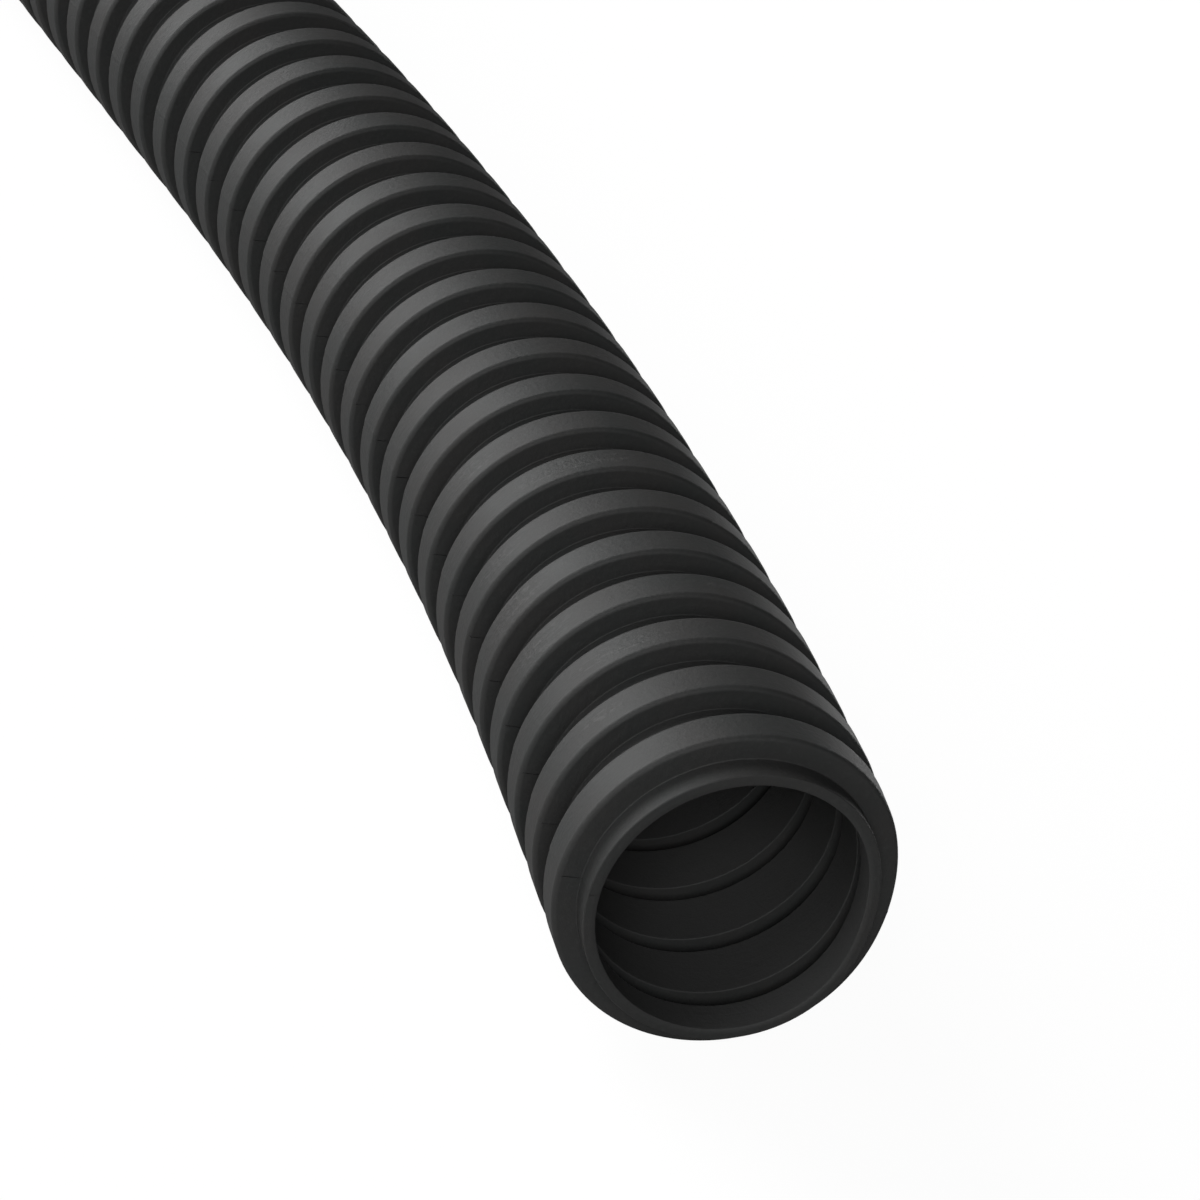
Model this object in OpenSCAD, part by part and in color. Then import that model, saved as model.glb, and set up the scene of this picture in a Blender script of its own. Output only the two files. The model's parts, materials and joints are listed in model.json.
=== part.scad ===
// Corrugated conduit: one moulded plastic tube with ring-shaped ribs, cut square in the groove
// past its first and its last rib. It lies on its ribs, straight but for a bend near one mouth.

/* [Tube] */
// Length along the centre line
tube_length = 1000; // [300:100:1200]
// Diameter over the ribs
crest_d = 13; // [12.5:0.1:16]
// Outside diameter in the grooves between the ribs
groove_d = 11.2; // [10:0.1:11.4]
// Thickness of the wall
wall = 0.45; // [0.3:0.05:0.55]

/* [Ribs] */
// Distance from one rib to the next
pitch = 3.4; // [3:0.1:4.5]
// Width of a rib
rib_w = 1.7; // [1.3:0.1:2]
// Bevel on a rib's outer edges
edge_bevel = 0.2; // [0.1:0.05:0.3]

/* [Bend] */
// Radius of the bend, to the centre line
bend_r = 250; // [200:10:400]
// Angle that the bend turns through
bend_angle = 14.5; // [5:0.5:20]
// Number of ribs on the short straight before the bend
mouth_ribs = 3; // [2:1:8]

/* [Hidden] */
crest_r = crest_d / 2;
groove_r = groove_d / 2;
bore_r = groove_r - wall;
// The wall follows each rib, so a ring-shaped pocket lies inside it
pocket_r = crest_r - wall;
pocket_w = rib_w - 2 * wall;

ribs = floor(tube_length / pitch);
// Middle of the first rib, with what the pitch leaves over shared by both ends
first_rib = (tube_length - (ribs - 1) * pitch) / 2;

// Stations, as distances along the centre line from the bent end's mouth
bend_start = first_rib + (mouth_ribs - 1) * pitch;
bend_end = bend_start + bend_r * bend_angle * PI / 180;

// The bent end's mouth seen from the bend's end: how far back it lies, and how far to the side
mouth_back = bend_r * sin(bend_angle) + bend_start * cos(bend_angle);
mouth_aside = bend_r * (1 - cos(bend_angle)) + bend_start * sin(bend_angle);
// The tube's box: the mouth's rim and the first rib's corner reach furthest
box_back = mouth_back + groove_r * sin(bend_angle);
box_front = tube_length - bend_end;
rib_corner = first_rib - rib_w / 2 + edge_bevel;
box_left = mouth_aside - rib_corner * sin(bend_angle) + crest_r * cos(bend_angle);
// Where the bend ends, with the middle of the box's underside at the origin
bend_end_x = (box_back - box_front) / 2;
bend_end_y = (crest_r - box_left) / 2;

// Slit between one groove's rod and the next, inside the rib that joins them
slit = 0.1;
// How far the bore's cutter runs past the cut ends
past = 1;
fine = 96;

// The station of the bend that is nearest to the station s
function on_bend(s) = min(max(s, bend_start), bend_end);

// Puts its children at the station s, with Z along the centre line
module at_station(s) {
    turn = (on_bend(s) - bend_end) / bend_r * 180 / PI;
    translate([bend_end_x, bend_end_y + bend_r, crest_r])
        rotate([0, 0, turn])
            translate([s - on_bend(s), -bend_r, 0])
                rotate([0, 90, 0])
                    children();
}

// Puts its children at the middle of every rib
module at_ribs() {
    for (i = [0 : ribs - 1])
        at_station(first_rib + i * pitch)
            children();
}

// Short straight rods of radius r, one from each rib's middle to the next, and one to each end
module groove_rods(r, extra) {
    end_h = first_rib - slit / 2 + extra;
    for (i = [1 : ribs - 1])
        at_station(first_rib + (i - 0.5) * pitch)
            cylinder(h = pitch - slit, r = r, center = true, $fn = fine);
    at_station(-extra)
        cylinder(h = end_h, r = r, $fn = fine);
    at_station(tube_length + extra - end_h)
        cylinder(h = end_h, r = r, $fn = fine);
}

module rib_disc() {
    rotate_extrude($fn = fine)
        polygon([
            [0, -rib_w / 2],
            [crest_r - edge_bevel, -rib_w / 2],
            [crest_r, edge_bevel - rib_w / 2],
            [crest_r, rib_w / 2 - edge_bevel],
            [crest_r - edge_bevel, rib_w / 2],
            [0, rib_w / 2],
        ]);
}

module conduit() {
    color("#1c1d1e")
        difference() {
            union() {
                groove_rods(groove_r, 0);
                at_ribs()
                    rib_disc();
            }
            union() {
                groove_rods(bore_r, past);
                at_ribs()
                    cylinder(h = pocket_w, r = pocket_r, center = true, $fn = fine);
            }
        }
}

conduit();
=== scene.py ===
"""Looks of a corrugated conduit: a black ring-ribbed plastic tube that lies on a white floor."""
import json
import math

import bpy
import numpy as np
from mathutils import Matrix, Vector


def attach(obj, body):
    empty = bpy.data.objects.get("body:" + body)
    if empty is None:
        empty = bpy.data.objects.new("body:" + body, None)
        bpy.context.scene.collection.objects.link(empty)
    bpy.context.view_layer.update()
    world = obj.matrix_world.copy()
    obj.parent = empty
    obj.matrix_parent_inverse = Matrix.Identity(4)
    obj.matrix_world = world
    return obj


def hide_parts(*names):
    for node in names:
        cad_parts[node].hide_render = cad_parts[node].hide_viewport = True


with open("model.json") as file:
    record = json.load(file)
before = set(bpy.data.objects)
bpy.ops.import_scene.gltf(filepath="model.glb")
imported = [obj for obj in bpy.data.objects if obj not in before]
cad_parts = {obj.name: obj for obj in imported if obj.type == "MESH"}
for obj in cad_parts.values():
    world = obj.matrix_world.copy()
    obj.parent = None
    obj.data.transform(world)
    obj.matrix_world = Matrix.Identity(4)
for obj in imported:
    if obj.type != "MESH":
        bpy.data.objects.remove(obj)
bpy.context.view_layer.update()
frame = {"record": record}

MM = 0.001

# Sizes of the tube that the frame doesn't give, in metres
PITCH = 3.4 * MM
RIB_WIDTH = 1.7 * MM
WALL = 0.45 * MM
BEND_RADIUS = 250 * MM
CREST_ROUND = 0.2 * MM
ROOT_ROUND = 0.05 * MM
POCKET_ROUND = 0.05 * MM
LIP_ROUND = 0.06 * MM

# Mould line: a low seam along both sides, where the ribs' far sides don't quite meet
SEAM_ANGLE = math.radians(-4)
SEAM_HEIGHT = 0.010 * MM
SEAM_WIDTH = 0.10 * MM
MOULD_SLIP = 0.09 * MM
SEAM_COLUMNS = 9

# Step along the tube over which the swell's slope is taken
SLOPE_STEP = 0.001 * MM

# Dent: cutting the tube pressed its bent mouth in on one side
DENT_ANGLE = math.radians(172)
DENT_SPREAD = math.radians(38)
DENT_DEPTH = 0.45 * MM
DENT_REACH = 4.5 * MM

# The frame's own places and sizes
MOUNTS = {mount["name"]: mount for mount in frame["record"]["mounts"]}
BORE_RADIUS = MOUNTS["bore_a"]["dims"]["r_mm"] * MM
CREST_RADIUS = MOUNTS["pin_a"]["dims"]["r_mm"] * MM
GROOVE_RADIUS = BORE_RADIUS + WALL
POCKET_RADIUS = CREST_RADIUS - WALL
POCKET_WIDTH = RIB_WIDTH - 2 * WALL
BENT_MOUTH = Vector(MOUNTS["bore_a"]["pos_m"])
STRAIGHT_MOUTH = Vector(MOUNTS["bore_b"]["pos_m"])
BEND_ANGLE = Vector(MOUNTS["bore_a"]["axis"]).angle(-Vector(MOUNTS["bore_b"]["axis"]))

# Stations are distances along the centre line from the bent mouth
ASIDE = BENT_MOUTH.y - STRAIGHT_MOUTH.y
BEND_START = (ASIDE - BEND_RADIUS * (1 - math.cos(BEND_ANGLE))) / math.sin(BEND_ANGLE)
BEND_END = BEND_START + BEND_RADIUS * BEND_ANGLE
BEND_END_X = BENT_MOUTH.x + BEND_RADIUS * math.sin(BEND_ANGLE) + BEND_START * math.cos(BEND_ANGLE)
TUBE_LENGTH = BEND_END + STRAIGHT_MOUTH.x - BEND_END_X
RIBS = math.floor(TUBE_LENGTH / PITCH)
FIRST_RIB = (TUBE_LENGTH - (RIBS - 1) * PITCH) / 2

# The tube's wall is one moulding, made here in stretches that meet in the middle of a groove
MOUTH_RIBS = 20
MOUTH_COLUMNS = 120
MOUTH_OUTER_STEPS = 5
MOUTH_INNER_STEPS = 3
RUN_STRETCHES = 4
RUN_COLUMNS = 72
RUN_STEPS = 2


# ---------------------------------------------------------------- shape

def centre_line(stations):
    """Points, tangents and sideways directions of the centre line.

    It is straight up to the bend, an arc over it and straight after it. A point's turn is the
    part of its station that lies on the bend, less the whole bend, over the bend's radius. The
    rest of its station carries it on along the tangent at that turn.
    """
    on_bend = np.clip(stations, BEND_START, BEND_END)
    turn = (on_bend - BEND_END) / BEND_RADIUS
    past = stations - on_bend
    level = np.zeros_like(turn)
    points = np.stack([
        BEND_END_X + BEND_RADIUS * np.sin(turn) + past * np.cos(turn),
        STRAIGHT_MOUTH.y + BEND_RADIUS * (1 - np.cos(turn)) + past * np.sin(turn),
        level + STRAIGHT_MOUTH.z,
    ], axis=-1)
    tangents = np.stack([np.cos(turn), np.sin(turn), level], axis=-1)
    sideways = np.stack([-np.sin(turn), np.cos(turn), level], axis=-1)
    return points, tangents, sideways


def rounded(corners):
    """Outline through (station, radius, rounding, steps) corners, each cut by a quarter circle.

    Gives its points, and at each the direction on its left at right angles to it. An arc runs
    from the rounding's length before the corner to as far after it, because the outline only
    turns by right angles. A corner with no rounding is one point that faces out of its wall.
    """
    spots = np.array([corner[:2] for corner in corners])
    legs = np.diff(spots, axis=0)
    legs /= np.linalg.norm(legs, axis=1)[:, None]
    left = np.stack([-legs[:, 1], legs[:, 0]], axis=1)
    points, normals = [spots[:1]], [left[:1]]
    for index, (_, _, rounding, steps) in enumerate(corners[1:-1]):
        spot, before, after = spots[index + 1], legs[index], legs[index + 1]
        if rounding == 0:
            points.append(spot[None])
            normals.append(left[index if abs(before[0]) > 0.5 else index + 1][None])
            continue
        share = np.linspace(0, math.pi / 2, steps)[:, None]
        centre = spot - rounding * before + rounding * after
        points.append(centre + rounding * (np.sin(share) * before - np.cos(share) * after))
        normals.append(np.cos(share) * left[index] + np.sin(share) * left[index + 1])
    return np.concatenate(points), np.concatenate(normals)


def wave(ribs, width, foot, top, foot_round, top_round, steps):
    """Corners of one face of the wall: for each rib, up from the foot, along the top and down."""
    corners = []
    for rib in ribs:
        middle = FIRST_RIB + rib * PITCH
        corners += [
            (middle - width / 2, foot, foot_round, steps),
            (middle - width / 2, top, top_round, steps),
            (middle + width / 2, top, top_round, steps),
            (middle + width / 2, foot, foot_round, steps),
        ]
    return corners


def wall_section(first, last, outer_steps, inner_steps):
    """Closed outline of the wall from the rib first to the one before last.

    It runs along the outside away from the bent mouth, across the far end, back along the
    inside and across the near end. An end is a mouth with a softened lip, or lies in the
    middle of a groove, where the next stretch carries on. Each point also has a 1 if it is on
    the outside, which reaches to the middle of the cut ends, and a 0 if it is on the inside.
    """
    ribs = range(first, last)
    start = 0 if first == 0 else FIRST_RIB + (first - 0.5) * PITCH
    end = TUBE_LENGTH if last == RIBS else FIRST_RIB + (last - 0.5) * PITCH
    start_lip = LIP_ROUND if first == 0 else 0
    end_lip = LIP_ROUND if last == RIBS else 0
    middle = (BORE_RADIUS + GROOVE_RADIUS) / 2
    crests = wave(
        ribs, RIB_WIDTH, GROOVE_RADIUS, CREST_RADIUS, ROOT_ROUND, CREST_ROUND, outer_steps)
    pockets = wave(
        ribs, POCKET_WIDTH, BORE_RADIUS, POCKET_RADIUS, POCKET_ROUND, POCKET_ROUND, inner_steps)
    outside = rounded([
        (start, middle, 0, 0), (start, GROOVE_RADIUS, start_lip, outer_steps), *crests,
        (end, GROOVE_RADIUS, end_lip, outer_steps), (end, middle, 0, 0),
    ])
    inside = rounded([
        (end, middle, 0, 0), (end, BORE_RADIUS, end_lip, outer_steps), *pockets[::-1],
        (start, BORE_RADIUS, start_lip, outer_steps), (start, middle, 0, 0),
    ])
    points, normals = (np.concatenate([out, back[1:-1]]) for out, back in zip(outside, inside))
    is_outside = np.arange(len(points)) < len(outside[0])
    return points, normals, is_outside.astype(float)


def columns(count):
    """Angles around the tube, even but for a close bunch across each of the two mould lines."""
    even = SEAM_ANGLE + math.pi / count + np.arange(count) * math.tau / count
    across = np.linspace(-2, 2, SEAM_COLUMNS) * SEAM_WIDTH / CREST_RADIUS
    return np.sort(np.concatenate([even, SEAM_ANGLE + across, SEAM_ANGLE + math.pi + across]))


def swell(stations, angles, seam):
    """How far the wall stands out from its outline, at stations and angles on one grid.

    The seam adds a bell curve of the distance from the mould line, where seam is 1. The dent
    takes away a bell curve of the angle from its middle, eased out along its reach.
    """
    from_seam = np.sin(angles - SEAM_ANGLE) * CREST_RADIUS / SEAM_WIDTH
    away = (angles - DENT_ANGLE) / DENT_SPREAD
    left = np.clip(1 - stations / DENT_REACH, 0, 1)
    dent = DENT_DEPTH * np.exp(-away ** 2) * left ** 2 * (3 - 2 * left)
    return SEAM_HEIGHT * np.exp(-from_seam ** 2) * seam - dent


def tube_wall(name, outline, angles):
    """The outline turned around the centre line, as one closed mesh.

    A point sits at its radius and swell from the centre line, in the direction that is the
    cosine of its angle times sideways plus the sine times up. The far sides of the ribs are
    shifted along the tube, one way in each half of the mould, by a step that follows the sine
    of the angle from the mould line and is cut off flat. A normal leans back by the swell's
    slope along and around the tube.
    """
    points, normals, is_outside = outline
    station, radius, outside = points[:, :1], points[:, 1:], is_outside[:, None]
    lengthwise, outwards = normals[:, :1], normals[:, 1:]
    from_seam = np.sin(angles - SEAM_ANGLE) * CREST_RADIUS / SEAM_WIDTH
    on_far_side = np.clip((radius - GROOVE_RADIUS) / ROOT_ROUND, 0, 1) * outside
    on_far_side = on_far_side * np.clip(lengthwise, 0, 1)
    station = station + on_far_side * MOULD_SLIP / 2 * np.clip(from_seam, -1, 1)

    seam = outside * np.clip(outwards, 0, 1)
    around_step = SLOPE_STEP / CREST_RADIUS
    reach = radius + swell(station, angles, seam)
    slope_along = (
        swell(station + SLOPE_STEP, angles, seam) - swell(station - SLOPE_STEP, angles, seam)) / 2
    slope_around = (
        swell(station, angles + around_step, seam) - swell(station, angles - around_step, seam)) / 2

    centre, along, sideways = centre_line(station)
    up = np.array([0.0, 0.0, 1.0])
    cos, sin = np.cos(angles)[None, :, None], np.sin(angles)[None, :, None]
    outward = cos * sideways + sin * up
    around = cos * up - sin * sideways
    spots = centre + reach[..., None] * outward
    facing = (lengthwise - outwards * slope_along / SLOPE_STEP)[..., None] * along
    facing = facing + outwards[..., None] * outward
    facing = facing - (outwards * slope_around / SLOPE_STEP)[..., None] * around
    facing /= np.linalg.norm(facing, axis=-1, keepdims=True)

    rows, cols = spots.shape[:2]
    row, col = np.meshgrid(np.arange(rows), np.arange(cols), indexing="ij")
    next_row, next_col = (row + 1) % rows, (col + 1) % cols
    faces = np.stack([
        row * cols + col, row * cols + next_col, next_row * cols + next_col, next_row * cols + col,
    ], axis=-1).reshape(-1, 4)
    turn = angles / math.tau
    turn_after = np.append(turn[1:], turn[0] + 1)
    lengths = points[:, 0]
    length_after = np.append(lengths[1:], lengths[0])
    here, there = np.broadcast_to(turn, (rows, cols)), np.broadcast_to(turn_after, (rows, cols))
    near = np.broadcast_to(lengths[:, None], (rows, cols))
    far = np.broadcast_to(length_after[:, None], (rows, cols))
    layout = np.stack([here, near, there, near, there, far, here, far], axis=-1)

    mesh = bpy.data.meshes.new(name)
    mesh.from_pydata(spots.reshape(-1, 3), [], faces)
    mesh.uv_layers.new(name="wall").data.foreach_set("uv", layout.astype(np.float32).ravel())
    is_bore = np.clip(1 - (points[:, 1] - BORE_RADIUS) / POCKET_ROUND, 0, 1) * (1 - is_outside)
    mesh.attributes.new("bore", "FLOAT", "POINT").data.foreach_set(
        "value", np.repeat(is_bore, cols).astype(np.float32))
    mesh.shade_smooth()
    mesh.normals_split_custom_set_from_vertices(facing.reshape(-1, 3))
    piece = bpy.data.objects.new(name, mesh)
    bpy.context.collection.objects.link(piece)
    return piece


# ---------------------------------------------------------------- shader maths

class Wire:
    """A shader socket that arithmetic signs work on; each sign adds a Math node."""

    def __init__(self, tree, socket):
        self.tree = tree
        self.socket = socket

    def maths(self, operation, *values):
        return node(self.tree, "ShaderNodeMath", {"operation": operation}, self, *values)

    def __add__(self, other):
        return self.maths("ADD", other)

    def __mul__(self, other):
        return self.maths("MULTIPLY", other)

    def __sub__(self, other):
        return self.maths("SUBTRACT", other)

    def __rsub__(self, other):
        return node(self.tree, "ShaderNodeMath", {"operation": "SUBTRACT"}, other, self)

    def __truediv__(self, other):
        return self.maths("DIVIDE", other)

    __radd__ = __add__
    __rmul__ = __mul__

    def between(self, low, high):
        """0 below low, 1 above high and an eased rise from one to the other."""
        return node(
            self.tree, "ShaderNodeMapRange", {"interpolation_type": "SMOOTHSTEP"},
            Value=self, **{"From Min": low, "From Max": high})


def node(tree, kind, settings=None, *values, output=0, **named):
    """Adds a node with its settings, fills its sockets by order or name, and gives an output."""
    made = tree.nodes.new(kind)
    for key, setting in (settings or {}).items():
        setattr(made, key, setting)
    for key, value in [*enumerate(values), *named.items()]:
        socket = made.inputs[key]
        if isinstance(value, Wire):
            tree.links.new(value.socket, socket)
        else:
            socket.default_value = value
    return Wire(tree, made.outputs[output])


def mix_colours(tree, factor, low, high):
    """Colour low where the factor is 0 and high where it is 1; each is numbers or a wire."""
    mix = tree.nodes.new("ShaderNodeMix")
    mix.data_type = "RGBA"
    for socket, colour in zip([s for s in mix.inputs if s.type == "RGBA"], (low, high)):
        if isinstance(colour, Wire):
            tree.links.new(colour.socket, socket)
        else:
            socket.default_value = (*colour, 1)
    tree.links.new(factor.socket, mix.inputs[0])
    return Wire(tree, next(s for s in mix.outputs if s.type == "RGBA"))


def new_material(name):
    """An empty material and its node tree."""
    material = bpy.data.materials.new(name)
    material.use_nodes = True
    material.node_tree.nodes.clear()
    return material, material.node_tree


def finish_material(tree, shader):
    """Gives a node tree its output, with the shader as its surface."""
    output = tree.nodes.new("ShaderNodeOutputMaterial")
    tree.links.new(shader.socket, output.inputs["Surface"])


# ---------------------------------------------------------------- materials

GREENISH_BLACK = (0.0318, 0.0334, 0.0328)
WARM_BLACK = (0.0348, 0.0343, 0.0336)
RUBBED = (0.17, 0.17, 0.165)
# Painted light: a lighter grey for the bore, standing in for light that hardly reaches inside the
# tube
BORE_PAINTED_LIGHT = (0.055, 0.0555, 0.055)
POLYAMIDE_IOR = 1.53

# Sizes in the plastic's surface: noise scales per metre, and heights and spacing in metres
GRAIN_SCALE = 4500
BLOTCH_SCALE = 330
LINE_SPACING = 0.08 * MM
LINES_AROUND = 3
GRAIN_HEIGHT = 0.032 * MM
RUB_HEIGHT = 0.03 * MM
LINE_HEIGHT = 0.016 * MM

# Rubs on the ribs' crests: rib, angle in degrees, length around and width along in millimetres
RUBS = (
    (5, 22, 1.6, 0.5),
    (4, 21, 2.2, 0.9),
    (3, 24, 1.8, 0.8),
    (2, 47, 2.6, 0.5),
    (1, 34, 1.2, 0.5),
    (3, 88, 0.5, 0.3),
    (6, 60, 3.0, 0.6),
    (7, 30, 1.4, 0.6),
)


def black_polyamide():
    """Matte black plastic with a mould's grain, fine lines around the tube and faint rubs.

    A rub is an oval on a crest, whose edge is eased out and which shows where lines and grain
    stand high. The wall map gives turns around the tube and stations along it in metres.
    """
    material, tree = new_material("black_polyamide")
    place = node(tree, "ShaderNodeTexCoord", output="Object")
    wall = node(tree, "ShaderNodeUVMap", {"uv_map": "wall"})
    split = tree.nodes.new("ShaderNodeSeparateXYZ")
    tree.links.new(wall.socket, split.inputs[0])
    turn, station = Wire(tree, split.outputs["X"]), Wire(tree, split.outputs["Y"])
    bore = node(tree, "ShaderNodeAttribute", {"attribute_name": "bore"}, output="Fac")

    grain = node(
        tree, "ShaderNodeTexNoise", None,
        Vector=place, Scale=GRAIN_SCALE, Detail=3, Roughness=0.6)
    blotches = node(
        tree, "ShaderNodeTexNoise", None,
        Vector=place, Scale=BLOTCH_SCALE, Detail=4, Roughness=0.55)
    # Lines around the tube: noise that changes fast along it and slowly around it
    angle = turn * math.tau
    round_place = node(
        tree, "ShaderNodeCombineXYZ", None,
        angle.maths("COSINE") * LINES_AROUND, angle.maths("SINE") * LINES_AROUND,
        station / LINE_SPACING)
    lines = node(tree, "ShaderNodeTexNoise", None, Vector=round_place, Scale=1, Detail=2)

    rubbed = 0
    for rib, degrees, length, width in RUBS:
        across = (station - (FIRST_RIB + rib * PITCH)) / (width * MM)
        along = (turn - degrees / 360) * (math.tau * CREST_RADIUS) / (length * MM)
        spot = 1 - (across * across + along * along).between(0.1, 1)
        rubbed = spot + rubbed
    scratches = rubbed * lines.between(0.46, 0.62) * grain.between(0.42, 0.6)

    colour = mix_colours(tree, blotches.between(0.35, 0.65), GREENISH_BLACK, WARM_BLACK)
    colour = mix_colours(tree, scratches * 0.2 + grain.between(0.5, 0.8) * 0.05, colour, RUBBED)
    # Painted light: the bore gets a lighter grey, in place of the light that hardly falls inside
    # the tube
    colour = mix_colours(tree, bore, colour, BORE_PAINTED_LIGHT)
    height = grain * (rubbed * RUB_HEIGHT + GRAIN_HEIGHT) + lines * LINE_HEIGHT
    relief = node(tree, "ShaderNodeBump", None, Strength=0.6, Distance=1.0, Height=height)
    shader = node(tree, "ShaderNodeBsdfPrincipled", None, **{
        "Base Color": colour,
        "Roughness": 0.55 + bore * 0.2 + blotches * 0.14,
        "Normal": relief,
        "Specular IOR Level": 0.36,
        "IOR": POLYAMIDE_IOR,
    })
    finish_material(tree, shader)
    return material


PAPER_GREY = (0.5, 0.5, 0.5, 1)
FLOOR_WHITE = (1, 1, 1, 1)
FLOOR_GLOW = 1.19
FLOOR_GLOW_SHARE = 0.8


def white_floor():
    """Grey floor that the camera sees as white paper, with the tube's shadow left faint."""
    material, tree = new_material("white_floor")
    light = node(tree, "ShaderNodeLightPath", output="Is Camera Ray")
    paper = node(tree, "ShaderNodeBsdfDiffuse", None, Color=PAPER_GREY)
    glow = node(tree, "ShaderNodeEmission", None, Color=FLOOR_WHITE, Strength=FLOOR_GLOW)
    share = light * FLOOR_GLOW_SHARE
    finish_material(tree, node(tree, "ShaderNodeMixShader", None, share, paper, glow))
    return material


# ---------------------------------------------------------------- pieces

plastic = black_polyamide()


def stretch(name, first, last, outer_steps, inner_steps, column_count):
    """One stretch of the tube's wall, from the rib first to the one before last.

    The steps are the points on each rounded corner, and the columns run around the tube.
    """
    outline = wall_section(first, last, outer_steps, inner_steps)
    piece = tube_wall(name, outline, columns(column_count))
    piece.data.materials.append(plastic)
    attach(piece, "root")
    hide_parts("conduit")
    return piece


stretch("bent_mouth", 0, MOUTH_RIBS, MOUTH_OUTER_STEPS, MOUTH_INNER_STEPS, MOUTH_COLUMNS)
run_ends = np.linspace(MOUTH_RIBS, RIBS, RUN_STRETCHES + 1).round().astype(int)
for number, (first, last) in enumerate(zip(run_ends[:-1], run_ends[1:]), start=1):
    stretch(f"straight_run_{number}", int(first), int(last), RUN_STEPS, RUN_STEPS, RUN_COLUMNS)


# ---------------------------------------------------------------- floor, light and camera

FLOOR_SIZE = 40.0
CAMERA_AIM = Vector((8.474, 4.430, 7.237)) * MM
CAMERA_DISTANCE = 124.08 * MM
CAMERA_AZIMUTH = math.radians(143.31)
CAMERA_ELEVATION = math.radians(23.70)
CAMERA_ROLL = math.radians(22.04)
CAMERA_LENS = 105.0


def direction(azimuth, elevation):
    """Unit vector towards an azimuth, counted from +X to +Y, and an elevation over the floor."""
    level = math.cos(elevation)
    return Vector((level * math.cos(azimuth), level * math.sin(azimuth), math.sin(elevation)))


def facing(towards, roll=0.0):
    """Turns an object to look along the vector towards, with its right side raised by roll."""
    forward = towards.normalized()
    level = forward.cross(Vector((0, 0, 1))).normalized()
    rise = level.cross(forward)
    right = level * math.cos(roll) + rise * math.sin(roll)
    return Matrix((right, right.cross(forward), -forward)).transposed()


def add_floor():
    """A square floor at height 0."""
    mesh = bpy.data.meshes.new("floor")
    half = FLOOR_SIZE / 2
    corners = [(-half, -half, 0), (half, -half, 0), (half, half, 0), (-half, half, 0)]
    mesh.from_pydata(corners, [], [(0, 1, 2, 3)])
    mesh.materials.append(white_floor())
    floor = bpy.data.objects.new("floor", mesh)
    bpy.context.collection.objects.link(floor)


def add_sun(name, azimuth, elevation, strength, spread):
    """A sun lamp from an azimuth and elevation, soft over a spread, all in degrees."""
    lamp = bpy.data.lights.new(name, "SUN")
    lamp.energy = strength
    lamp.angle = math.radians(spread)
    sun = bpy.data.objects.new(name, lamp)
    towards = -direction(math.radians(azimuth), math.radians(elevation))
    sun.matrix_world = facing(towards).to_4x4()
    bpy.context.collection.objects.link(sun)


def add_sky(strength):
    """White for the camera; for light, a plain grey of the given strength."""
    world = bpy.data.worlds.new("sky")
    bpy.context.scene.world = world
    world.use_nodes = True
    tree = world.node_tree
    tree.nodes.clear()
    seen = node(tree, "ShaderNodeLightPath", output="Is Camera Ray")
    light = node(tree, "ShaderNodeBackground", None, Color=(1, 1, 1, 1), Strength=strength)
    white = node(tree, "ShaderNodeBackground", None, Color=(1, 1, 1, 1), Strength=1.0)
    output = tree.nodes.new("ShaderNodeOutputWorld")
    mixed = node(tree, "ShaderNodeMixShader", None, seen, light, white)
    tree.links.new(mixed.socket, output.inputs["Surface"])


def add_camera():
    """A camera that looks at a point set off from the bent mouth."""
    camera = bpy.data.cameras.new("camera")
    camera.lens = CAMERA_LENS
    camera.sensor_width = 36.0
    camera.clip_start = 5 * MM
    camera.clip_end = 100.0
    holder = bpy.data.objects.new("camera", camera)
    towards = direction(CAMERA_AZIMUTH, CAMERA_ELEVATION)
    turn = facing(-towards, CAMERA_ROLL).to_4x4()
    spot = BENT_MOUTH + CAMERA_AIM + towards * CAMERA_DISTANCE
    holder.matrix_world = Matrix.Translation(spot) @ turn
    bpy.context.collection.objects.link(holder)
    bpy.context.scene.camera = holder


add_floor()
add_sun("key", azimuth=28, elevation=22, strength=2.4, spread=45)
add_sun("front", azimuth=143, elevation=24, strength=1.25, spread=30)
add_sun("rim", azimuth=-65, elevation=3, strength=0.8, spread=25)
add_sun("side", azimuth=80, elevation=4, strength=1.3, spread=40)
add_sky(strength=0.02)
add_camera()
bpy.context.scene.view_settings.view_transform = "Standard"
